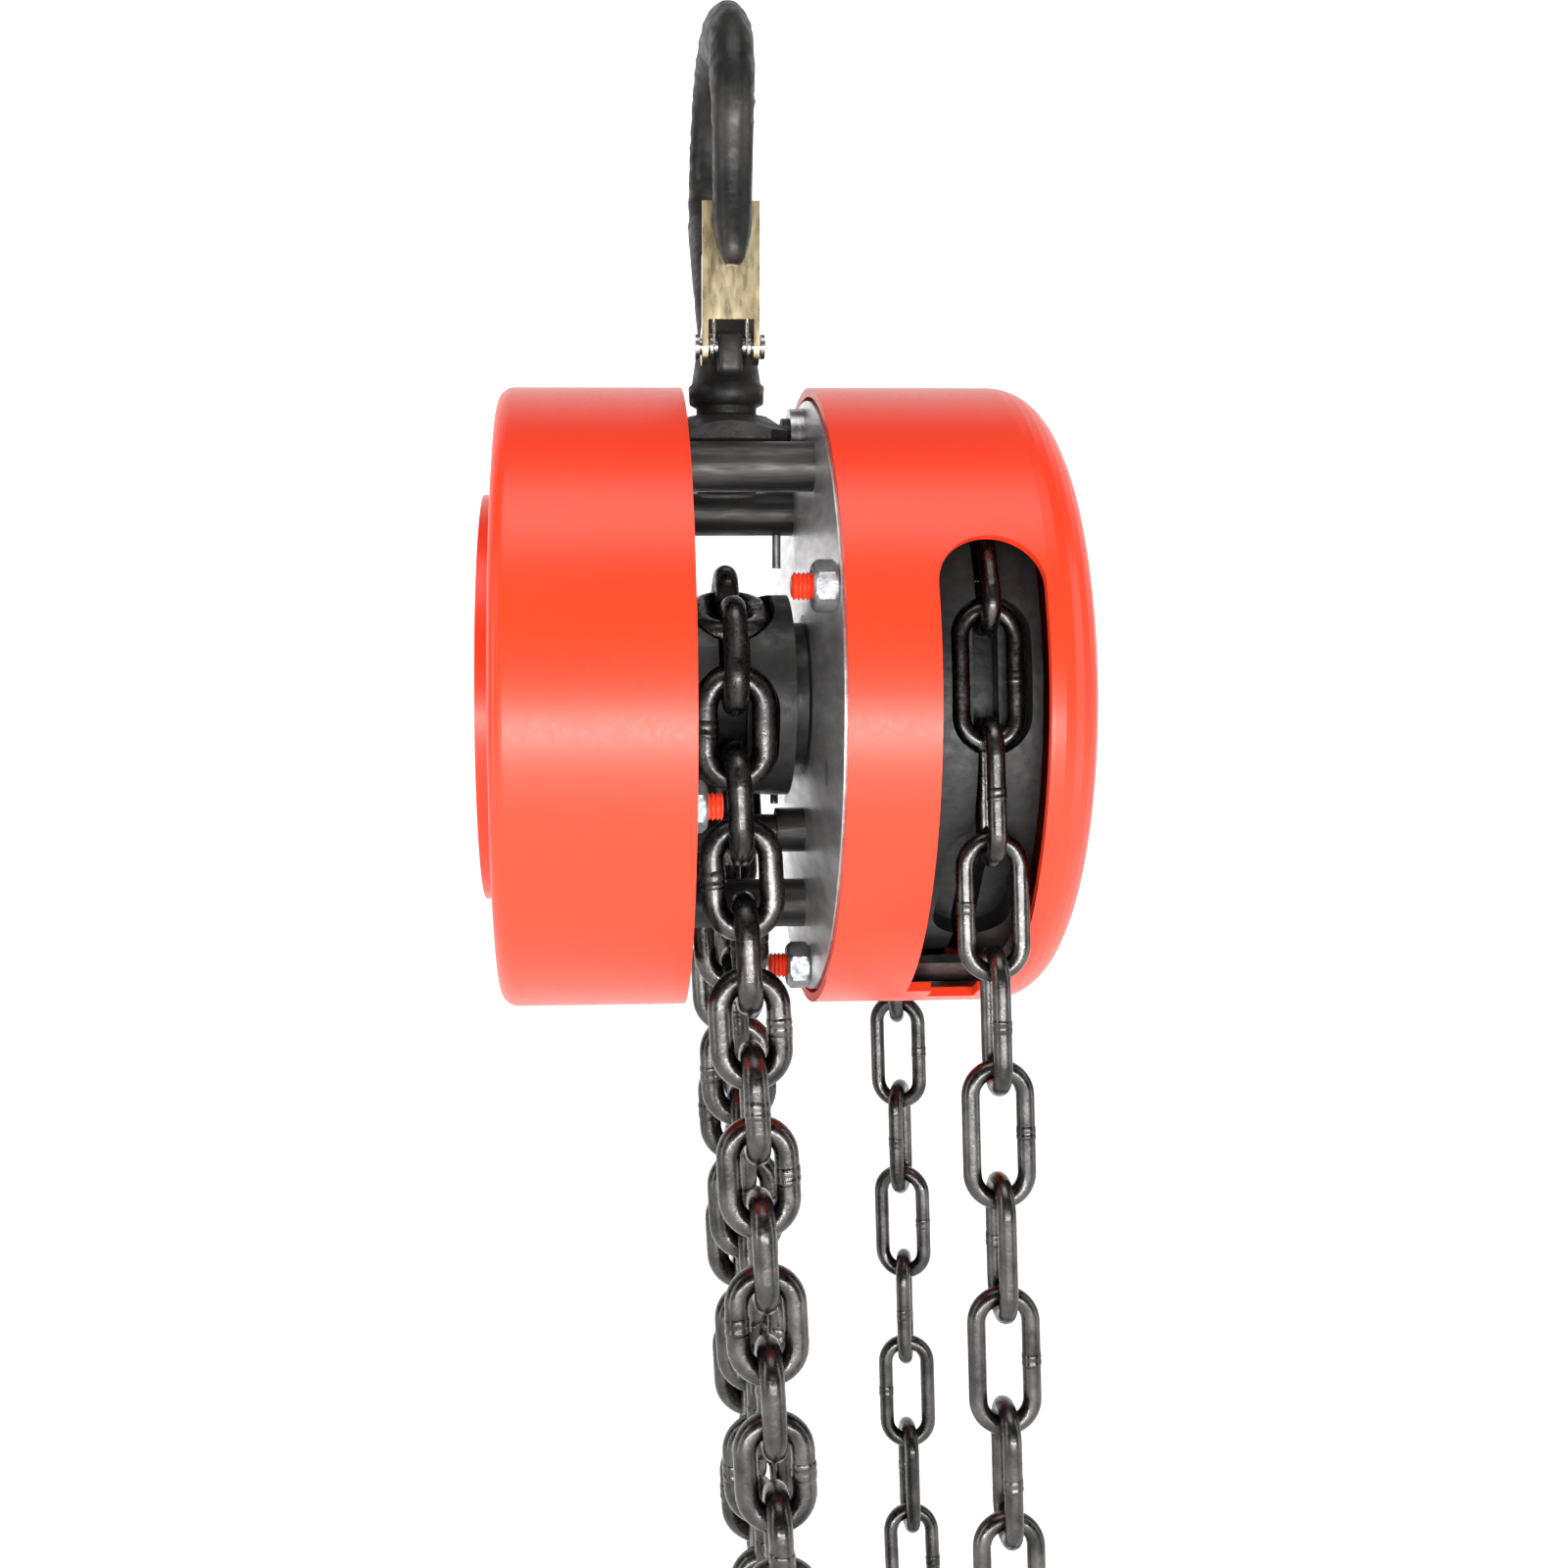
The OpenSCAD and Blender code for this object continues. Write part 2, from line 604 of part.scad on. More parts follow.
// the wheel's rim turned as one piece, then cut for the chain
module hand_wheel() color("#242322") at_axis() difference() {
    x0 = hand_x - hand_wheel_w / 2;
    x1 = hand_x + hand_wheel_w / 2;
    turned([[shaft_r + seat, wheel_hub_x], [30, wheel_hub_x], [30, x0 + 6], [47, x0 + 6], [47, x0],
        [hand_wheel_r, x0], [hand_wheel_r, x1], [47, x1], [47, x1 - 6], [20, x1 - 6], [20, x1],
        [shaft_r + seat, x1]]);
    turned([[54.4, hand_x - 2.8], [80, hand_x - 2.8], [80, hand_x + 2.8], [54.4, hand_x + 2.8]]);
    for (k = [0 : hand_n - 1]) radial(hand_phase + k * 360 / hand_n)
        translate([hand_x, 0, hand_r * cos(hand_a) - hand_wire / 2 - 0.3])
            link_pocket(hand_pitch + 2 * hand_wire + 1.4, hand_link_w + 1.4);
}
// a pocket for a flat link, opening outward along Z
module link_pocket(length, width) {
    linear_extrude(20) {
        square([width, length - width], center = true);
        for (s = [-1, 1]) translate([0, s * (length - width) / 2]) circle(d = width);
    }
}
module wheel_nut() color("#6d6e70") at_axis() difference() {
    hex(19, hand_x + hand_wheel_w / 2 + 0.1, 71.4);
    rod(shaft_r + seat, 60, 80);
}
module disc_gear(a) {
    difference() {
        at_polar([centre_d, a]) plate_yz(-44, -38)
            polygon(gear_outline(disc_n, yz(a) + 180 + 180 / disc_n, 3));
        at_polar([centre_d, a]) rod(7.2 + seat, -60, 0);
    }
}
module disc_pinion(a) {
    at_polar([centre_d, a]) {
        plate_yz(-31, -20.6) polygon(gear_outline(disc_pinion_n, yz(a) + 180, 4));
        rod(7.2, -46, -30);
        rod(4, end_plate_x[0], gear_plate_x[1], 32);
    }
}
module disc_gear_a() color("#8f9092") at_axis() disc_gear(disc_angles[0]);
module disc_gear_b() color("#8f9092") at_axis() disc_gear(disc_angles[1]);
module disc_pinion_a() color("#7f8184") at_axis() disc_pinion(disc_angles[0]);
module disc_pinion_b() color("#7f8184") at_axis() disc_pinion(disc_angles[1]);
module load_gear() color("#8f9092") at_axis() difference() {
    plate_yz(-29.6, -21.6)
        polygon(gear_outline(load_gear_n, yz(disc_angles[0]) + 180 / load_gear_n, 3));
    rod(13 + seat, -40, 0);
}
module load_sheave() color("#232221") at_axis() difference() {
    union() {
        rod(sheave_r, -sheave_w, sheave_w);
        rod(18, sheave_w - 0.1, wheel_plate_x[0] - 0.5);
        rod(13, -31.6, wheel_plate_x[1]);
    }
    turned([[12.4, -3.7], [40, -3.7], [40, 3.7], [12.4, 3.7]]);
    for (k = [0 : load_n - 1]) radial(180 - load_phase + k * 360 / load_n)
        translate([0, 0, load_r * cos(load_a) - load_wire / 2 - 0.4])
            link_pocket(load_pitch + 2 * load_wire + 1.4, load_link_w + 1.4);
    rod(7 + seat, -40, 40);
    turned([[12, -31], [14, -31], [14, -29.7], [12, -29.7]]);
}
module retaining_ring() color("#9b9c9e") at_axis() {
    ring(15, 12.05, -30.9, -29.8);
}
module shaft_bushes() color("#b08d57") at_axis() {
    for (x = [-31.6, 13]) ring(7, shaft_r + run, x, x + 10);
}

// ---- chains ----

module load_chain_wrap() color("#3c3b3a") at_axis() mirror([0, 1, 0]) {
    wrap(load_n, load_phase, load_r, load_a, load_b) load_link();
    translate([0, load_side_y, load_flat_z]) load_link();
}
// links one below another from z0, the first one upright, less the first few of them
module hanging(z0, step, count, skip = 0) {
    for (i = [skip : count - 1]) translate([0, 0, z0 - i * step])
        rotate([0, 0, i % 2 == 0 ? 90 : 0]) children();
}
module load_chain_fall() color("#3c3b3a") at_axis() lean(load_pivot_z, load_lean)
    translate([0, -load_side_y, 0]) hanging(load_first_z, load_step, load_links) load_link();

module load_chain_slack() color("#3c3b3a") at_axis() {
    translate([0, load_side_y, 0]) hanging(slack_first_z, load_step, 1) load_link();
    lean(slack_pivot_z, load_lean) {
        translate([0, load_side_y, 0]) hanging(slack_first_z, load_step, slack_down, 1) load_link();
        translate([0, load_side_y + load_gap * cos(turn_a), slack_low_z - load_gap * sin(turn_a)])
            rotate([90 - turn_a, 0, 0]) rotate([0, 0, 90]) load_link();
        translate([0, anchor_y - load_half * cos(turn_b), turn_z + load_half * sin(turn_b)])
            rotate([turn_b - 90, 0, 0]) load_link();
        translate([0, anchor_y, 0]) hanging(rise_z + (slack_up - 1) * load_step, load_step, slack_up)
            load_link();
    }
}

module hand_chain_wrap() color("#3a3938") at_axis() translate([hand_x, 0, 0]) {
    wrap(hand_n, hand_phase, hand_r, hand_a, hand_b) hand_link();
    translate([0, hand_side_y, hand_rear_z]) hand_link();
}
// twist of link i of the rear side, which eases in from both ends
function side_twist(i) = rear_twist * min(1, max(0, min(i, loop_links - 1 - i) - 0.5) / 2.5);
// the rest of the endless loop: both hanging sides and the bend at the bottom
module hand_chain_loop() color("#3a3938") at_axis() translate([hand_x, 0, 0]) lean(hand_pivot_z, hand_lean) {
    translate([0, -hand_side_y, 0]) hanging(hand_first_z, hand_step, loop_links) hand_link();
    translate([0, 0, loop_z]) rotate([180, 0, 0]) {
        wrap(hand_n, hand_phase, hand_r, hand_a, hand_b) hand_link();
        translate([0, hand_side_y, hand_rear_z]) hand_link();
        translate([0, -hand_side_y, 0]) for (i = [0 : loop_links - 1])
            translate([0, 0, hand_first_z - i * hand_step])
                rotate([0, 0, (i % 2 == 0 ? 90 : 0) + side_twist(i)]) hand_link();
    }
}

// ---- bottom hook, hanging from the load chain ----

chain_pin_z = load_first_z - (load_links - 1) * load_step - load_pitch / 2 + chain_pin_r + slip;
block_top_r = 9;
block_low_r = 20;
block_low_z = -19;
block_w = [10.8, 13.4];                      // half thickness at the chain and at the hook
head_z = [-25.6, -13.6];                     // the hook's head in the block
head_r = 9.6;
bolt_y = 15.2;
bottom_seat_z = -120.6;

// moves to the chain pin at the end of the leaning load chain
module at_fall_end() {
    at_axis() lean(load_pivot_z, load_lean) translate([0, -load_side_y, chain_pin_z]) children();
}
// moves to the seat of the bottom hook, upside down
module at_bottom_seat() {
    at_fall_end() translate([0, 0, bottom_seat_z]) rotate([180, 0, 0]) children();
}
// the block is two shells that close around the hook's head
module hook_block() color("#2d2c2b") at_fall_end() {
    lift = asin((block_low_r - block_top_r) / -block_low_z);
    difference() {
        union() {
            rod(block_top_r, -block_w[0], block_w[0]);
            plate_yz(-block_w[0], block_w[0]) polygon([for (s = [-1, 1], k = s < 0 ? [0, 1] : [1, 0])
                [s * (k == 0 ? block_top_r : block_low_r) * cos(lift),
                    k == 0 ? block_top_r * sin(lift) : block_low_z + block_low_r * sin(lift)]]);
            translate([0, 0, block_low_z]) rod(block_low_r, -block_w[1], block_w[1]);
        }
        translate([-3.6, -25, -9.6]) cube([7.2, 50, 30]);
        translate([0, 0, -45]) cylinder(r = shank_r + run, h = 25);
        translate([0, 0, head_z[0] - 0.3]) cylinder(r = head_r + 0.2, h = head_z[1] - head_z[0] + 0.6);
        rod(chain_pin_r + seat, -20, 20, 32);
        for (s = [-1, 1]) translate([0, s * bolt_y, block_low_z]) rod(2 + seat, -30, 30, 32);
        translate([-0.1, -30, -60]) cube([0.2, 60, 90]);
    }
}
module block_bolts() color("#77787a") at_fall_end()
    for (s = [-1, 1]) translate([0, s * bolt_y, block_low_z]) {
        rod(2, -block_w[1] - 3.4, block_w[1], 32);
        hex(6.6, block_w[1], block_w[1] + 2.8);
        difference() {
            hex(6.6, -block_w[1] - 3, -block_w[1]);
            rod(2 + seat, -30, 30, 32);
        }
    }
module chain_pin() color("#8d8f90") at_fall_end() {
    rod(chain_pin_r, -block_w[0], block_w[0], 32);
}
module bottom_hook() color("#2b2a29") at_bottom_seat() {
    hook_form(bottom_seat_z - head_z[1]);
    translate([0, 0, bottom_seat_z - head_z[1]]) cylinder(r = head_r, h = head_z[1] - head_z[0]);
}
module bottom_latch_pin() at_bottom_seat() latch_pin();
module bottom_latch_spring() at_bottom_seat() latch_spring();
module bottom_latch() at_bottom_seat() latch();

top_hook();
hook_nut();
hook_lock_pin();
top_latch_pin();
top_latch_spring();
top_latch();
crosshead();
trunnion_washers();
gear_side_plate();
wheel_side_plate();
upper_front_stay();
upper_rear_stay();
lower_stay();
stay_nuts();
split_pins();
sheave_bearings();
chain_stripper();
chain_anchor_pin();
gear_cover();
gear_cover_studs();
gear_cover_nuts();
wheel_cover();
wheel_cover_studs();
wheel_cover_nuts();
gear_end_plate();
gear_posts();
shaft_end_bush();
hand_chain_guide();
pawl_pins();
pawl_springs();
pawl_clips();
load_chain_wrap();
load_chain_slack();
hand_chain_wrap();
hand_chain_loop();
pinion_shaft();
brake_hub();
friction_discs();
hand_wheel();
wheel_nut();
ratchet_disc();
pawl_a();
pawl_b();
disc_gear_a();
disc_pinion_a();
disc_gear_b();
disc_pinion_b();
load_sheave();
load_gear();
retaining_ring();
shaft_bushes();
load_chain_fall();
hook_block();
block_bolts();
chain_pin();
bottom_hook();
bottom_latch_pin();
bottom_latch_spring();
bottom_latch();
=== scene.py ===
"""Looks for the hand chain hoist: painted drum covers, oiled chains, forged hooks, bright plates."""
import json
import math

import bmesh
import bpy
from mathutils import Matrix, Vector


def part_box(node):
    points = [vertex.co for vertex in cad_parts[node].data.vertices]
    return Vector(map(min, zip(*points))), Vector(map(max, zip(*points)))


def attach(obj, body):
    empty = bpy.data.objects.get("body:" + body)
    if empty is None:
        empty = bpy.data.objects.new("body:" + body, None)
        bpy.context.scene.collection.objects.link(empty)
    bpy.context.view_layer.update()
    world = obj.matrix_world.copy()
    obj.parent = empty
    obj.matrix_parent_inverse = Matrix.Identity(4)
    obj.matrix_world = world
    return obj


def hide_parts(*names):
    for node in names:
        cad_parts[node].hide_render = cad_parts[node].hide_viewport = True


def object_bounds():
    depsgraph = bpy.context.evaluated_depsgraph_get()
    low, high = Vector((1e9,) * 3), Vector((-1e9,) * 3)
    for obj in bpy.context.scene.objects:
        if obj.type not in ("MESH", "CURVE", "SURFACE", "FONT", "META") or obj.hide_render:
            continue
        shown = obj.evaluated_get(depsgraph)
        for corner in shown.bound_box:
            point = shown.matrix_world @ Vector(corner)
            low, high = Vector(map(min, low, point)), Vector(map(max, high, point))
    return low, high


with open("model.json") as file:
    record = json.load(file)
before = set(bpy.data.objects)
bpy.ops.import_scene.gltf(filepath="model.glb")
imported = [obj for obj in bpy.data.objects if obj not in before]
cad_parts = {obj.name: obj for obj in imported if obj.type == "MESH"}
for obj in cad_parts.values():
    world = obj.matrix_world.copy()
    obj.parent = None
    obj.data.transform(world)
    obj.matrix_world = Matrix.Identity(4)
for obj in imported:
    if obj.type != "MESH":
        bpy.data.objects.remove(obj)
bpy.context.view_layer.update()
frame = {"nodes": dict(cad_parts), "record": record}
nodes = frame["nodes"]
MM = 0.001

# ---- materials ----


def new_material(name):
    """An empty node material and its shader."""
    m = bpy.data.materials.new(name)
    m.use_nodes = True
    return m, m.node_tree.nodes["Principled BSDF"]


def add(m, kind, **values):
    """A node of this kind with its inputs or properties set."""
    n = m.node_tree.nodes.new(kind)
    for key, value in values.items():
        if key in n.inputs:
            n.inputs[key].default_value = value
        else:
            setattr(n, key, value)
    return n


def noise(m, scale, detail=4.0, stretch=(1, 1, 1)):
    """Noise in the piece's own coordinates, scale in features per metre."""
    where = add(m, "ShaderNodeTexCoord")
    turn = add(m, "ShaderNodeMapping")
    turn.inputs["Scale"].default_value = stretch
    n = add(m, "ShaderNodeTexNoise", Scale=scale, Detail=detail)
    m.node_tree.links.new(where.outputs["Object"], turn.inputs["Vector"])
    m.node_tree.links.new(turn.outputs["Vector"], n.inputs["Vector"])
    return n


def ramp(m, source, stops):
    """A colour ramp from one (place, rgb) stop to another, fed by a float output."""
    r = add(m, "ShaderNodeValToRGB")
    for element, (place, colour) in zip(r.color_ramp.elements, stops):
        element.position = place
        element.color = (*colour, 1)
    m.node_tree.links.new(source, r.inputs["Fac"])
    return r


def grey(v):
    """A neutral colour of this brightness."""
    return (v, v, v)


def bump(m, shader, layers):
    """Bumps from (height output, strength, distance in metres), one over the other."""
    last = None
    for height, strength, distance in layers:
        b = add(m, "ShaderNodeBump", Strength=strength, Distance=distance)
        m.node_tree.links.new(height, b.inputs["Height"])
        if last is not None:
            m.node_tree.links.new(last.outputs["Normal"], b.inputs["Normal"])
        last = b
    m.node_tree.links.new(last.outputs["Normal"], shader.inputs["Normal"])


def metal(name, dark, light, rough, scale, metallic=1.0, grain=(1, 1, 1), bumps=((0.25, 0.0002),),
          coat=0.0):
    """A metal whose colour and roughness drift between two values.

    Bumps are (strength, distance in metres), the fine one first.
    """
    m, s = new_material(name)
    link = m.node_tree.links.new
    s.inputs["Metallic"].default_value = metallic
    broad = noise(m, scale, 5.0, grain)
    fine = noise(m, scale * 7, 3.0, grain)
    colour = ramp(m, broad.outputs["Fac"], [(0.35, dark), (0.68, light)])
    link(colour.outputs["Color"], s.inputs["Base Color"])
    r = ramp(m, fine.outputs["Fac"], [(0.3, grey(rough[0])), (0.7, grey(rough[1]))])
    link(r.outputs["Color"], s.inputs["Roughness"])
    bump(m, s, [(n.outputs["Fac"], *depth) for n, depth in zip((fine, broad), bumps)])
    s.inputs["Coat Weight"].default_value = coat
    s.inputs["Coat Roughness"].default_value = 0.15
    return m


def paint(name, deep, main):
    """Sprayed enamel, satin, with a faint orange peel."""
    m, s = new_material(name)
    link = m.node_tree.links.new
    broad = noise(m, 9.0, 2.0)
    peel = noise(m, 900.0, 2.0)
    colour = ramp(m, broad.outputs["Fac"], [(0.3, deep), (0.7, main)])
    link(colour.outputs["Color"], s.inputs["Base Color"])
    r = ramp(m, peel.outputs["Fac"], [(0.3, grey(0.30)), (0.7, grey(0.36))])
    link(r.outputs["Color"], s.inputs["Roughness"])
    bump(m, s, [(peel.outputs["Fac"], 0.05, 0.0001)])
    s.inputs["Specular IOR Level"].default_value = 0.4
    return m


def forged(name, dark, light, metallic):
    """Blackened scale: pitted, with worn spots that catch the light."""
    m, s = new_material(name)
    link = m.node_tree.links.new
    broad = noise(m, 60.0, 6.0)
    pits = noise(m, 420.0, 6.0)
    colour = ramp(m, broad.outputs["Fac"], [(0.35, dark), (0.75, light)])
    link(colour.outputs["Color"], s.inputs["Base Color"])
    r = ramp(m, pits.outputs["Fac"], [(0.3, grey(0.34)), (0.7, grey(0.6))])
    link(r.outputs["Color"], s.inputs["Roughness"])
    s.inputs["Metallic"].default_value = metallic
    bump(m, s, [(broad.outputs["Fac"], 0.35, 0.0012), (pits.outputs["Fac"], 0.4, 0.0004)])
    return m


cover_paint = paint("cover_paint", (0.80, 0.040, 0.011), (0.86, 0.048, 0.014))
plate_steel = metal("plate_steel", grey(0.62), grey(0.9), (0.28, 0.48), 60,
                    grain=(1, 1, 5), bumps=((0.3, 0.0002), (0.12, 0.0004)))
forged_black = forged("forged_black", grey(0.012), (0.06, 0.056, 0.053), 0.55)
cast_black = forged("cast_black", grey(0.007), (0.026, 0.025, 0.024), 0.25)
chain_steel = metal("chain_steel", (0.03, 0.028, 0.027), (0.1, 0.094, 0.09), (0.2, 0.42), 130,
                    bumps=((0.3, 0.0003), (0.3, 0.0006)), coat=0.3)
hand_steel = metal("hand_steel", (0.03, 0.028, 0.027), (0.1, 0.095, 0.09), (0.22, 0.4), 150,
                   bumps=((0.25, 0.0002), (0.25, 0.0005)), coat=0.25)
zinc = metal("zinc", (0.2, 0.21, 0.22), (0.42, 0.43, 0.44), (0.35, 0.6), 220,
             bumps=((0.35, 0.0002), (0.3, 0.0003)))
pin_steel = metal("pin_steel", grey(0.28), grey(0.5), (0.25, 0.4), 150, grain=(5, 1, 1))
stay_steel = metal("stay_steel", grey(0.03), (0.085, 0.08, 0.077), (0.35, 0.6), 90,
                   metallic=0.8, grain=(0.3, 2, 2), bumps=((0.35, 0.0003), (0.3, 0.0006)))
latch_zinc = metal("latch_zinc", (0.45, 0.34, 0.17), (0.72, 0.62, 0.42), (0.22, 0.36), 70,
                   grain=(1, 1, 0.3))
spring_wire = metal("spring_wire", grey(0.5), grey(0.75), (0.2, 0.32), 300)
gear_steel = metal("gear_steel", grey(0.25), grey(0.42), (0.3, 0.5), 110)
bronze = metal("bronze", (0.4, 0.24, 0.1), (0.6, 0.4, 0.18), (0.3, 0.45), 120)
lining = forged("lining", (0.05, 0.035, 0.025), (0.12, 0.09, 0.06), 0.0)

BY_SLOT = {
    "cover_paint": cover_paint,
    "plate_steel": plate_steel,
    "forged_black": forged_black,
    "chain_load": chain_steel,
    "chain_hand": hand_steel,
    "zinc_steel": zinc,
    "pin_steel": pin_steel,
    "stay_steel": stay_steel,
    "latch_zinc": latch_zinc,
    "spring_wire": spring_wire,
    "gear_steel": gear_steel,
    "wheel_iron": cast_black,
    "bush_bronze": bronze,
    "friction_lining": lining,
}
SLOT = {p["node"]: p["material_slot"] for p in frame["record"]["subparts"]}
for name, obj in nodes.items():
    obj.data.materials.clear()
    obj.data.materials.append(BY_SLOT[SLOT[name]])

# ---- shared mesh work ----

X = Vector((1, 0, 0))
Y = Vector((0, 1, 0))
Z = Vector((0, 0, 1))


def piece(name, mesh, material, body, smooth):
    """Links a bmesh as an object that rides on a body, smooth up to an angle in degrees."""
    data = bpy.data.meshes.new(name)
    mesh.to_mesh(data)
    mesh.free()
    obj = bpy.data.objects.new(name, data)
    bpy.context.scene.collection.objects.link(obj)
    data.materials.append(material)
    data.polygons.foreach_set("use_smooth", [True] * len(data.polygons))
    data.set_sharp_from_angle(angle=math.radians(smooth))
    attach(obj, body)
    return obj


def circle(mesh, centre, u, v, radius, turns):
    """A ring of new points round centre, in the plane of u and v."""
    points = []
    for k in range(turns):
        a = 2 * math.pi * k / turns
        points.append(mesh.verts.new(centre + u * (radius * math.cos(a)) + v * (radius * math.sin(a))))
    return points


def bridge(mesh, rings):
    """Quads between each ring of points and the next."""
    for low, high in zip(rings, rings[1:]):
        for k in range(len(low)):
            n = (k + 1) % len(low)
            mesh.faces.new((low[k], low[n], high[n], high[k]))


def tube(mesh, rings):
    """Bridged rings closed at both ends."""
    bridge(mesh, rings)
    mesh.faces.new(list(reversed(rings[0])))
    mesh.faces.new(rings[-1])


def outward(mesh):
    """Turns every face outwards."""
    bmesh.ops.recalc_face_normals(mesh, faces=mesh.faces)


def solids(node):
    """The points of each separate solid of a CAD node."""
    mesh = bmesh.new()
    mesh.from_mesh(nodes[node].data)
    bmesh.ops.remove_doubles(mesh, verts=mesh.verts, dist=1e-6)
    seen = set()
    found = []
    for start in mesh.verts:
        if start.index in seen:
            continue
        seen.add(start.index)
        todo = [start]
        group = []
        while todo:
            v = todo.pop()
            group.append(v.co.copy())
            for e in v.link_edges:
                o = e.other_vert(v)
                if o.index not in seen:
                    seen.add(o.index)
                    todo.append(o)
        found.append(group)
    mesh.free()
    return found


def corners(points):
    """Lowest and highest corner of some points."""
    low = Vector([min(p[i] for p in points) for i in range(3)])
    high = Vector([max(p[i] for p in points) for i in range(3)])
    return low, high


# ---- threads and nuts of the covers, along X ----

# one turn of the thread as (share of the pitch, share of the radius)
THREAD = ((0.3, 0.84), (0.55, 1.0), (0.75, 1.0))
THREAD_PITCH = 1 * MM
THREAD_ENDS = (0.72, 0.7)      # radius of the two ends as shares of the stud's
# half of a nut as (share of its length, share of its flats' radius at which its corners are cut)
CHAMFER = ((0, 0.9), (0.09, 1.02), (0.2, 2))
NUT_BORE = 3 * MM
BORE = ((1, 1.18), (0.9, 1.0), (0.1, 1.0), (0, 1.18))


def thread_profile(length, radius):
    """(distance along the stud, radius) from end to end."""
    count = round(length / THREAD_PITCH)
    step = length / count
    profile = [(0.0, radius * THREAD_ENDS[0])]
    for k in range(count):
        profile += [((k + along) * step, radius * share) for along, share in THREAD]
    profile.append((length, radius * THREAD_ENDS[1]))
    return profile


def threaded(name, node):
    """Cover studs with a rolled thread instead of a plain cylinder."""
    mesh = bmesh.new()
    for points in solids(node):
        low, high = corners(points)
        start = Vector((low.x, (low.y + high.y) / 2, (low.z + high.z) / 2))
        profile = thread_profile(high.x - low.x, (high.z - low.z) / 2)
        tube(mesh, [circle(mesh, start + X * x, Y, Z, r, 32) for x, r in profile])
    obj = piece(name, mesh, cover_paint, "frame", 50)
    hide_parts(node)


def hexagon(mesh, centre, corner, cut, turns):
    """A ring round a hexagon with a corner up, its corners cut to a share of the flats' radius."""
    sixth = math.pi / 3
    flat = corner * math.cos(sixth / 2)
    points = []
    for k in range(turns):
        a = 2 * math.pi * k / turns
        off = (a + sixth / 2) % sixth - sixth / 2
        r = min(flat / math.cos(sixth / 2 - abs(off)), flat * cut * 1.02, corner)
        points.append(mesh.verts.new(centre + Z * (r * math.cos(a)) - Y * (r * math.sin(a))))
    return points


def hex_nuts(name, node):
    """Nuts with chamfered corners and bores."""
    mesh = bmesh.new()
    turns = 48
    ends = CHAMFER + tuple((1 - x, cut) for x, cut in reversed(CHAMFER))
    for points in solids(node):
        low, high = corners(points)
        start = Vector((low.x, (low.y + high.y) / 2, (low.z + high.z) / 2))
        length = high.x - low.x
        rings = [hexagon(mesh, start + X * (x * length), (high.z - low.z) / 2, cut, turns)
                 for x, cut in ends]
        rings += [circle(mesh, start + X * (x * length), Z, -Y, NUT_BORE * grow, turns)
                  for x, grow in BORE]
        bridge(mesh, rings + rings[:1])
    outward(mesh)
    obj = piece(name, mesh, zinc, "frame", 25)
    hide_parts(node)


threaded("gear_cover_thread", "gear_cover_studs")
threaded("wheel_cover_thread", "wheel_cover_studs")
hex_nuts("gear_cover_hex", "gear_cover_nuts")
hex_nuts("wheel_cover_hex", "wheel_cover_nuts")

# ---- weld marks of the chain links ----

# the mark as (place along the shank in wire diameters, radius in wire radii)
MARK = ((-0.42, 0.985), (-0.36, 1.045), (-0.1, 1.075), (0.06, 1.02), (0.12, 1.09), (0.3, 1.05),
        (0.36, 0.985))
SLANT = 0.056                  # how far it leans along the shank, in wire diameters
WAVE = 0.012                   # how uneven it is round the shank, in wire radii


def shank(points, wire, other_side):
    """The middle of one straight shank of a link, and its directions along and outwards."""
    low, high = corners(points)
    centre = (low + high) / 2
    along = (max(points, key=lambda p: (p - centre).length) - centre).normalized()
    for _ in range(12):
        total = Vector()
        for p in points:
            total += (p - centre) * (p - centre).dot(along)
        along = total.normalized()
    flat = [p - centre - along * (p - centre).dot(along) for p in points]
    widest = max(flat, key=lambda d: d.length)
    across = widest.normalized()
    if across.x < -0.3:
        across.negate()
    if other_side:
        across.negate()
    return centre + across * (widest.length - wire / 2), along, across


def weld_marks(node, body, wire, material):
    """A raised, sheared collar on one shank of each link, where it was butt welded."""
    mesh = bmesh.new()
    turns = 20
    for i, points in enumerate(solids(node)):
        middle, along, across = shank(points, wire, i % 3 == 1)
        third = along.cross(across)
        rings = []
        for place, grow in MARK:
            ring = []
            for k in range(turns):
                a = 2 * math.pi * k / turns
                slant = SLANT * math.sin(a + i)
                r = wire / 2 * (grow + WAVE * math.sin(3 * a + 1.7 * i))
                round_it = across * (r * math.cos(a)) + third * (r * math.sin(a))
                ring.append(mesh.verts.new(middle + along * (wire * (place + slant)) + round_it))
            rings.append(ring)
        bridge(mesh, rings)
        mesh.faces.new(rings[0])
        mesh.faces.new(rings[-1])
    outward(mesh)
    piece(node + "_welds", mesh, material, body, 60)


LOAD_WIRE = 6 * MM
HAND_WIRE = 4 * MM
for node in ("load_chain_wrap", "load_chain_slack"):
    weld_marks(node, "frame", LOAD_WIRE, chain_steel)
weld_marks("load_chain_fall", "load_fall", LOAD_WIRE, chain_steel)
for node in ("hand_chain_wrap", "hand_chain_loop"):
    weld_marks(node, "frame", HAND_WIRE, hand_steel)

# ---- hooks, in millimetres of a hook's own frame: its seat is the origin, its shank points to -Z ----

BOWL = 19.0
BAR_TURNS = 32
COLLAR_TURNS = 40
SHANK_R = 7.5
# collar between shank and bar as (height, radius)
COLLAR = ((-83.5, SHANK_R), (-82.6, 9.2), (-78.4, 9.5), (-77.6, 8.6), (-71, 7.6), (-70.5, 4.0))
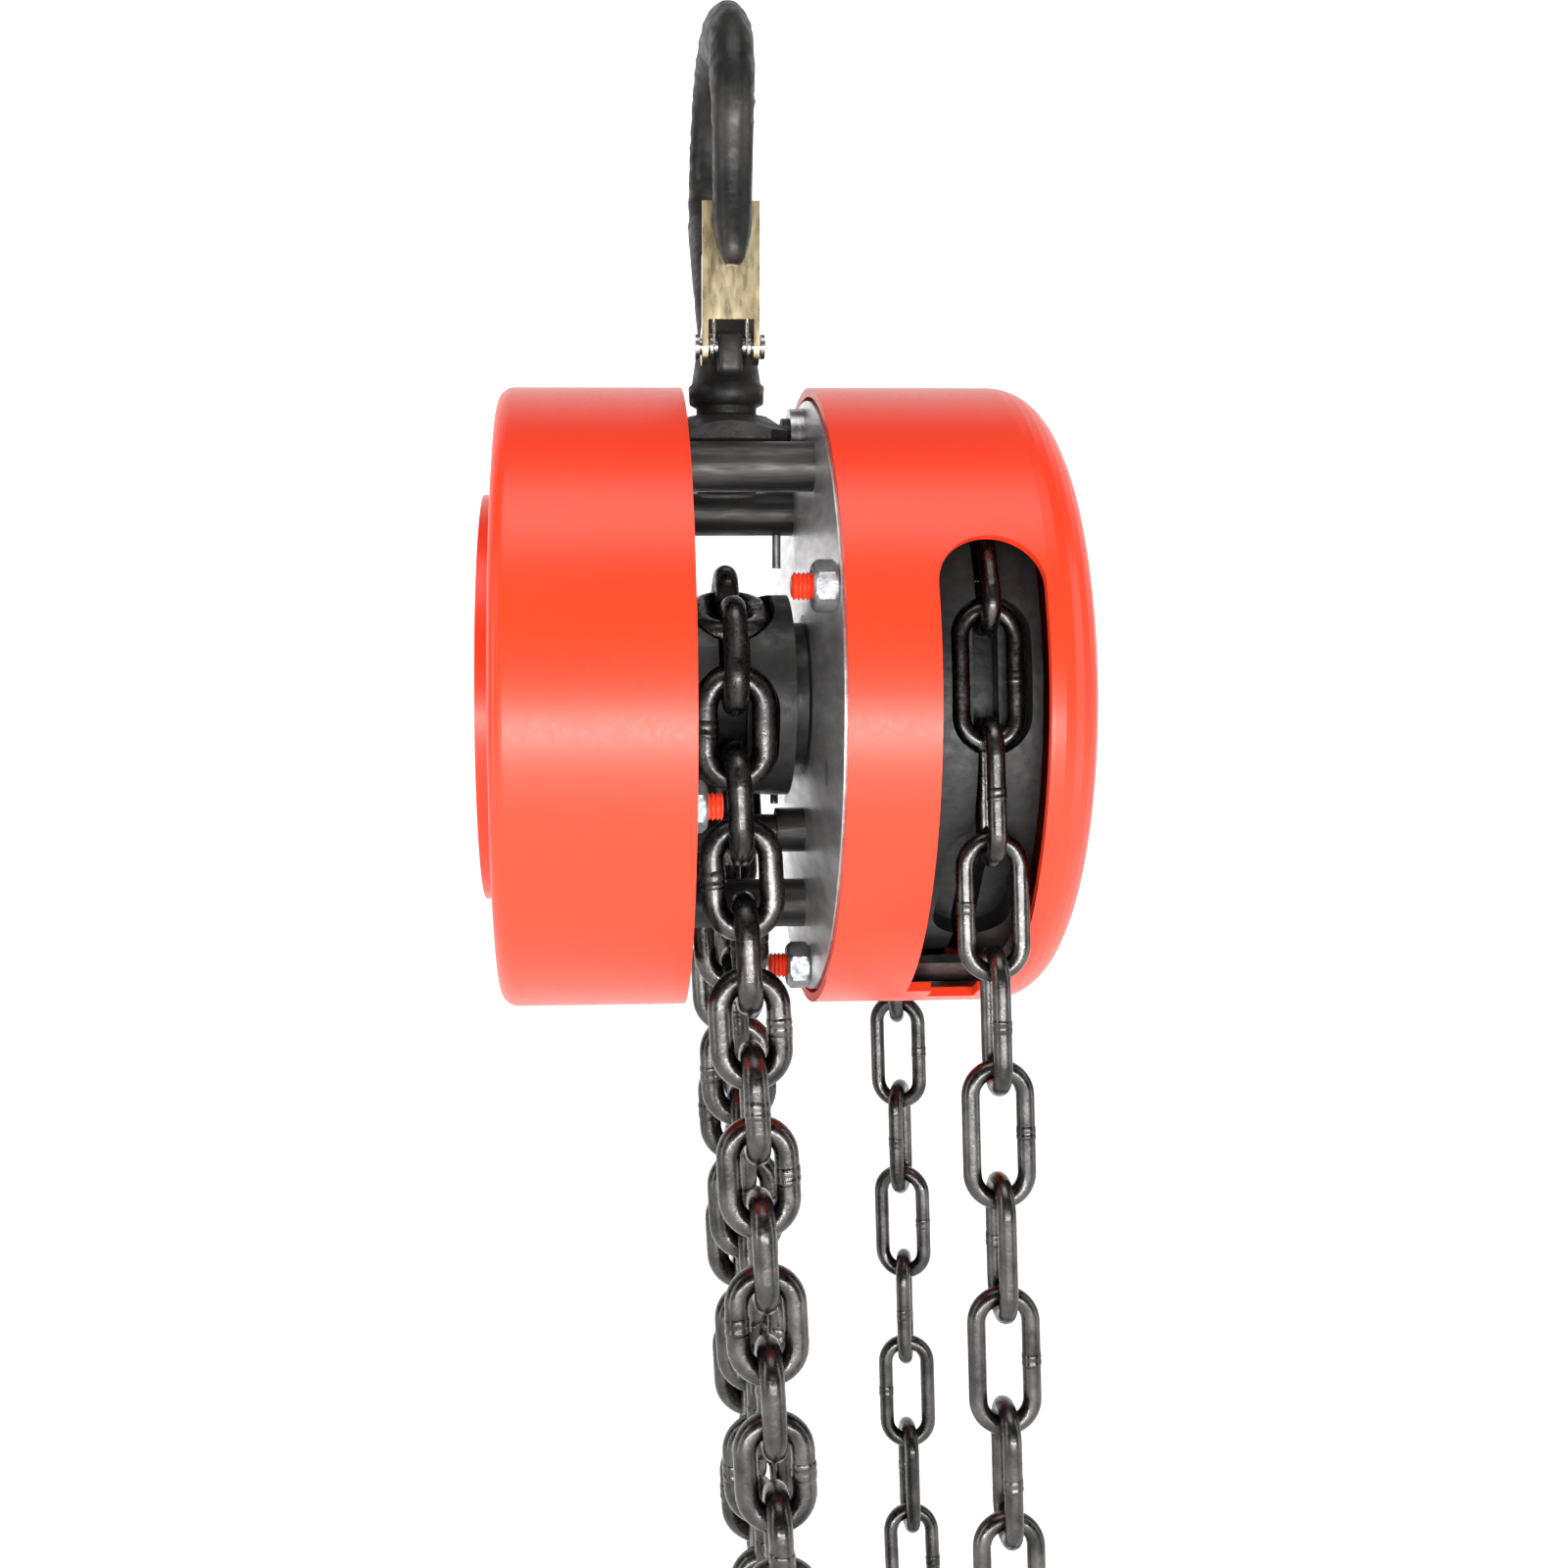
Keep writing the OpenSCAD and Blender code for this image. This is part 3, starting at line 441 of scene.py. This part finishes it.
# the point as (y, z, direction, half thickness, half width)
POINT = ((-21.5, -42, 258, 4.4, 5.4), (-22.1, -45, 260, 4.0, 5.1), (-22.6, -48, 262, 3.5, 4.6),
         (-22.9, -51, 264, 2.5, 3.5), (-23, -52.6, 266, 1.3, 2.1))
LUG_SIZE = (6, 13, 10)
LUG_AT = (0, -8.2, -71.8)
LUG_EDGE = 1.6
OUTER_TAPER = 0.27             # how much narrower than its middle the bar is on its outer side
OUTER_POWER = 0.72             # powers under 1 square up the section
SIDE_POWER = 0.85
INNER_DEPTH = 0.96             # of the outer side's depth
DENT = 0.22


def hook_stations():
    """(y, z, direction in degrees, half thickness, half width) along the bar."""
    rows = []
    for k in range(13):
        i = k / 4
        rows.append((2 * i * i / 3, -77 + i * 7.3, 90 - i * 12, 7.5 + i * 0.4, 8 + i * 0.5))
    for k in range(57):
        t = k / 56
        a = -42 + 226.8 * t
        b = 8.6 - 0.6 * t - 3.6 * t ** 4
        c = math.cos(math.radians(a))
        d = math.sin(math.radians(a))
        rows.append(((BOWL + b) * c, -BOWL + (BOWL + b) * d, a + 90, b, 10 - 4 * t))
    return rows + list(POINT)


def squared(v, n):
    """v to the power n with its sign kept, which squares up a round section."""
    return math.copysign(abs(v) ** n, v)


def dents(p):
    """Small dents of the die and hammer."""
    broad = math.sin(0.9 * p.x + 1.3 * p.z) * math.sin(0.7 * p.y + 0.31 * p.z)
    return DENT * (broad + 0.5 * math.sin(2.3 * p.z + p.y))


def bar_ring(mesh, y, z, way, b, w):
    """One section of the bar: flat and narrow outside, round and full inside."""
    c = math.cos(math.radians(way))
    d = math.sin(math.radians(way))
    points = []
    for k in range(BAR_TURNS):
        a = 2 * math.pi * k / BAR_TURNS
        outer = math.cos(a)
        u = b * (squared(outer, OUTER_POWER) if outer > 0 else INNER_DEPTH * outer)
        v = w * squared(math.sin(a), SIDE_POWER) * (1 - OUTER_TAPER * outer) / (1 + OUTER_TAPER)
        p = Vector((v, y + u * d, z - u * c))
        out = Vector((v, u * d, -u * c)).normalized()
        points.append(mesh.verts.new(p + out * dents(p)))
    return points


def hook_lug(mesh):
    """The cheek that holds the latch pin."""
    lug = bmesh.ops.create_cube(mesh, size=1)["verts"]
    bmesh.ops.scale(mesh, vec=LUG_SIZE, verts=lug)
    bmesh.ops.translate(mesh, vec=LUG_AT, verts=lug)
    edges = list({e for v in lug for e in v.link_edges})
    bmesh.ops.bevel(mesh, geom=edges, offset=LUG_EDGE, segments=3, affect="EDGES", profile=0.5)


def hook_mesh(place, shank_low):
    """The whole hook, moved by place into the row frame."""
    mesh = bmesh.new()
    tube(mesh, [bar_ring(mesh, *row) for row in hook_stations()])
    profile = ((shank_low, SHANK_R - 0.9), (shank_low + 1, SHANK_R)) + COLLAR
    tube(mesh, [circle(mesh, Z * z, X, Y, r, COLLAR_TURNS) for z, r in profile])
    hook_lug(mesh)
    outward(mesh)
    bmesh.ops.transform(mesh, matrix=place @ Matrix.Scale(MM, 4), verts=mesh.verts)
    return mesh


# ---- latch springs, in the same frames ----

LATCH_PIN = Vector((0, -11, -70))
COIL_X = 4.4
COIL_R = 2.85
COIL_TURNS = 2.5
COIL_WIDTH = 0.85
SPRING_WIRE = 0.42


def wire(mesh, points, radius, turns=10):
    """A round wire along points."""
    side = Vector((1, 0.2, 0.1)).normalized()
    rings = []
    for i, p in enumerate(points):
        ahead = (points[min(i + 1, len(points) - 1)] - points[max(i - 1, 0)]).normalized()
        side = (side - ahead * side.dot(ahead)).normalized()
        rings.append(circle(mesh, p, side, ahead.cross(side), radius, turns))
    tube(mesh, rings)


def latch_coils(place):
    """Torsion spring: coils on both sides of the hook's cheek, each with a leg up the latch."""
    mesh = bmesh.new()
    for s in (-1, 1):
        points = []
        for k in range(61):
            t = k / 60
            a = 2 * math.pi * COIL_TURNS * t
            x = s * (COIL_X + COIL_WIDTH * (0.5 - t))
            points.append(LATCH_PIN + Vector((x, COIL_R * math.cos(a), COIL_R * math.sin(a))))
        points.append(LATCH_PIN + Vector((s * 4.0, -COIL_R, 2)))
        points.append(LATCH_PIN + Vector((s * 4.2, -3.2, 14.5)))
        wire(mesh, points, SPRING_WIRE)
    outward(mesh)
    bmesh.ops.transform(mesh, matrix=place @ Matrix.Scale(MM, 4), verts=mesh.verts)
    return mesh


def hook_pieces(label, place):
    """A forged hook and its latch spring instead of the CAD ones, at the place of its frame."""
    into = place.inverted()
    shank_low = min((into @ v.co).z for v in nodes[label + "_hook"].data.vertices) / MM
    hook = piece(label + "_hook_forged", hook_mesh(place, shank_low), forged_black,
                 label + "_hook", 60)
    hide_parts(label + "_hook")
    coil = piece(label + "_latch_coils", latch_coils(place), spring_wire,
                 label + "_hook", 60)
    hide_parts(label + "_latch_spring")


# the lower hook hangs upside down from the leaning chain
mounts = {m["name"]: m for m in frame["record"]["mounts"]}
lower = mounts["bottom_hook_seat"]
lean = math.asin(lower["axis"][0])
lower_turn = Matrix.Rotation(-lean, 4, "Y") @ Matrix.Rotation(math.pi, 4, "X")
hook_pieces("top", Matrix.Identity(4))
hook_pieces("bottom", Matrix.Translation(lower["pos_m"]) @ lower_turn)

# ---- camera, light and floor ----

axis_z = sum(corner[2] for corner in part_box("gear_cover")) / 2
LENS = 40.5045                 # mm, on a sensor 36 mm wide
SENSOR = 36.0
CAM = Vector((-34.8, -440.7, 16.2)) * MM     # from the wheel axis
YAW, PITCH, ROLL = -0.0469, -0.0314, -0.0044  # radians
SHIFT = (0.072125, -0.0625)    # the picture's centre is off the lens axis by these shares of its width


def make_camera():
    """A nearly level camera opposite the gear cover."""
    data = bpy.data.cameras.new("camera")
    data.sensor_width = SENSOR
    data.lens = LENS
    data.shift_x, data.shift_y = SHIFT
    data.clip_start = 0.01
    cam = bpy.data.objects.new("camera", data)
    bpy.context.scene.collection.objects.link(cam)
    level = Vector((-math.sin(YAW), math.cos(YAW), 0))
    ahead = level * math.cos(PITCH) + Z * math.sin(PITCH)
    right = Vector((math.cos(YAW), math.sin(YAW), 0))
    up = right.cross(ahead)
    rolled_right = right * math.cos(ROLL) + up * math.sin(ROLL)
    rolled_up = up * math.cos(ROLL) - right * math.sin(ROLL)
    turn = Matrix((rolled_right, rolled_up, -ahead)).transposed().to_4x4()
    cam.matrix_world = Matrix.Translation(CAM + Z * axis_z) @ turn
    bpy.context.scene.camera = cam


def soft_box(name, at, size, power):
    """A rectangular lamp at a place from the wheel axis, aimed at the hoist's middle."""
    data = bpy.data.lights.new(name, "AREA")
    data.shape = "RECTANGLE"
    data.size, data.size_y = size
    data.energy = power
    obj = bpy.data.objects.new(name, data)
    obj.location = Vector(at) + Z * axis_z
    obj.rotation_mode = "QUATERNION"
    obj.rotation_quaternion = (-Vector(at)).to_track_quat("-Z", "Y")
    bpy.context.scene.collection.objects.link(obj)


FLOOR_FRONT = -2.5
WALL_FOOT = 1.1                # where the floor starts to curve up
SWEEP_R = 0.6
WALL_H = 3.5
HALF_W = 4
CLEAR = 0.12                   # the floor's distance below the lowest piece


def make_sweep():
    """A pale floor that curves up into a wall behind the hoist."""
    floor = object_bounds()[0][2] - CLEAR
    arc = [k * math.pi / 20 for k in range(11)]
    profile = [(FLOOR_FRONT, floor)]
    profile += [(WALL_FOOT + SWEEP_R * math.sin(a), floor + SWEEP_R * (1 - math.cos(a))) for a in arc]
    profile += [(WALL_FOOT + SWEEP_R, floor + WALL_H)]
    mesh = bmesh.new()
    left, right = [[mesh.verts.new((x, y, z)) for y, z in profile] for x in (-HALF_W, HALF_W)]
    for k in range(len(profile) - 1):
        mesh.faces.new((left[k], right[k], right[k + 1], left[k + 1]))
    data = bpy.data.meshes.new("sweep")
    mesh.to_mesh(data)
    mesh.free()
    data.polygons.foreach_set("use_smooth", [True] * len(data.polygons))
    material, shader = new_material("sweep_white")
    shader.inputs["Base Color"].default_value = (*grey(0.9), 1)
    shader.inputs["Roughness"].default_value = 0.9
    shader.inputs["Emission Color"].default_value = (*grey(1), 1)
    shader.inputs["Emission Strength"].default_value = 0.6
    data.materials.append(material)
    sweep = bpy.data.objects.new("sweep", data)
    bpy.context.scene.collection.objects.link(sweep)


def make_lights():
    """A narrow box in front draws the band across the covers; the others fill."""
    soft_box("front_box", (0.0, -1.5, -0.26), (1.8, 0.09), 30)
    soft_box("left_box", (-1.2, -0.35, 0.1), (0.3, 1.3), 5)
    soft_box("right_box", (1.2, -0.3, 0.1), (0.3, 1.3), 4)
    soft_box("top_box", (0.0, -0.5, 1.2), (1.2, 0.6), 8)
    world = bpy.data.worlds.new("world")
    world.use_nodes = True
    sky = world.node_tree.nodes["Background"]
    sky.inputs["Color"].default_value = (*grey(1), 1)
    sky.inputs["Strength"].default_value = 0.08
    bpy.context.scene.world = world
    bpy.context.scene.view_settings.view_transform = "Standard"


make_camera()
make_sweep()
make_lights()
